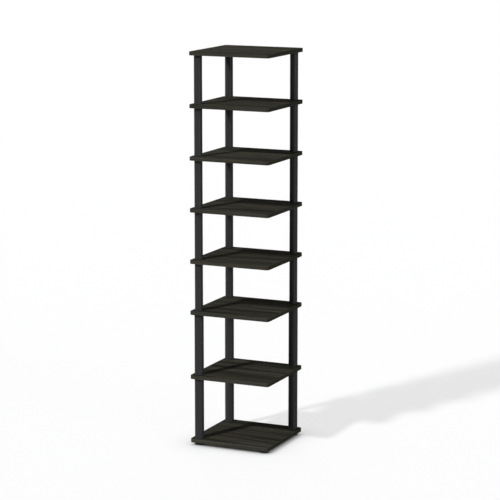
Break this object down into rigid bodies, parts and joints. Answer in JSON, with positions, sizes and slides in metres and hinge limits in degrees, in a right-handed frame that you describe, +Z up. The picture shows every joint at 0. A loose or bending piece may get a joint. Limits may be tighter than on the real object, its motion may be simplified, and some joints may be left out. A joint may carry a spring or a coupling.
{
  "type": "corner shelf",
  "caption": "Tall narrow corner shelf: square dark wood-grain boards with rounded corners on posts of screw-together plastic tubes, with the front corner left open.",
  "frame": {"origin": "on the floor, under the middle of the square boards", "axes": "+Z up along the posts; -Y is the front edge; the free corner is at +X -Y; the corner at -X +Y goes into the corner of a room"},
  "size_m": [0.295, 0.295, 1.3615],
  "materials": {
    "wood_grain_board": "particle board with a printed dark walnut foil, matt",
    "edge_band": "edge strip printed like the boards, matt",
    "tube_plastic": "extruded charcoal black plastic, low sheen",
    "plug_plastic": "moulded charcoal black plastic, fine matt texture",
    "foot_plastic": "moulded charcoal black plastic, fine matt texture",
    "insert_plastic": "moulded black plastic"
  },
  "bodies": {
    "root": {"bottom_shelf": "wood_grain_board", "shelf_2": "wood_grain_board", "shelf_3": "wood_grain_board", "shelf_4": "wood_grain_board", "shelf_5": "wood_grain_board", "shelf_6": "wood_grain_board", "shelf_7": "wood_grain_board", "top_shelf": "wood_grain_board", "bottom_shelf_edge_band": "edge_band", "shelf_2_edge_band": "edge_band", "shelf_3_edge_band": "edge_band", "shelf_4_edge_band": "edge_band", "shelf_5_edge_band": "edge_band", "shelf_6_edge_band": "edge_band", "shelf_7_edge_band": "edge_band", "top_shelf_edge_band": "edge_band", "left_tube_1": "tube_plastic", "left_tube_2": "tube_plastic", "left_tube_3": "tube_plastic", "left_tube_4": "tube_plastic", "left_tube_5": "tube_plastic", "left_tube_6": "tube_plastic", "left_tube_7": "tube_plastic", "corner_tube_1": "tube_plastic", "corner_tube_2": "tube_plastic", "corner_tube_3": "tube_plastic", "corner_tube_4": "tube_plastic", "corner_tube_5": "tube_plastic", "corner_tube_6": "tube_plastic", "corner_tube_7": "tube_plastic", "right_tube_1": "tube_plastic", "right_tube_2": "tube_plastic", "right_tube_3": "tube_plastic", "right_tube_4": "tube_plastic", "right_tube_5": "tube_plastic", "right_tube_6": "tube_plastic", "right_tube_7": "tube_plastic", "socket_plugs_1": "plug_plastic", "socket_plugs_2": "plug_plastic", "socket_plugs_3": "plug_plastic", "socket_plugs_4": "plug_plastic", "socket_plugs_5": "plug_plastic", "socket_plugs_6": "plug_plastic", "socket_plugs_7": "plug_plastic", "stud_plugs_1": "plug_plastic", "stud_plugs_2": "plug_plastic", "stud_plugs_3": "plug_plastic", "stud_plugs_4": "plug_plastic", "stud_plugs_5": "plug_plastic", "stud_plugs_6": "plug_plastic", "stud_plugs_7": "plug_plastic", "left_foot": "foot_plastic", "corner_foot": "foot_plastic", "right_foot": "foot_plastic", "front_foot": "foot_plastic", "front_foot_insert": "insert_plastic", "top_shelf_inserts": "insert_plastic"}
  },
  "joints": []
}
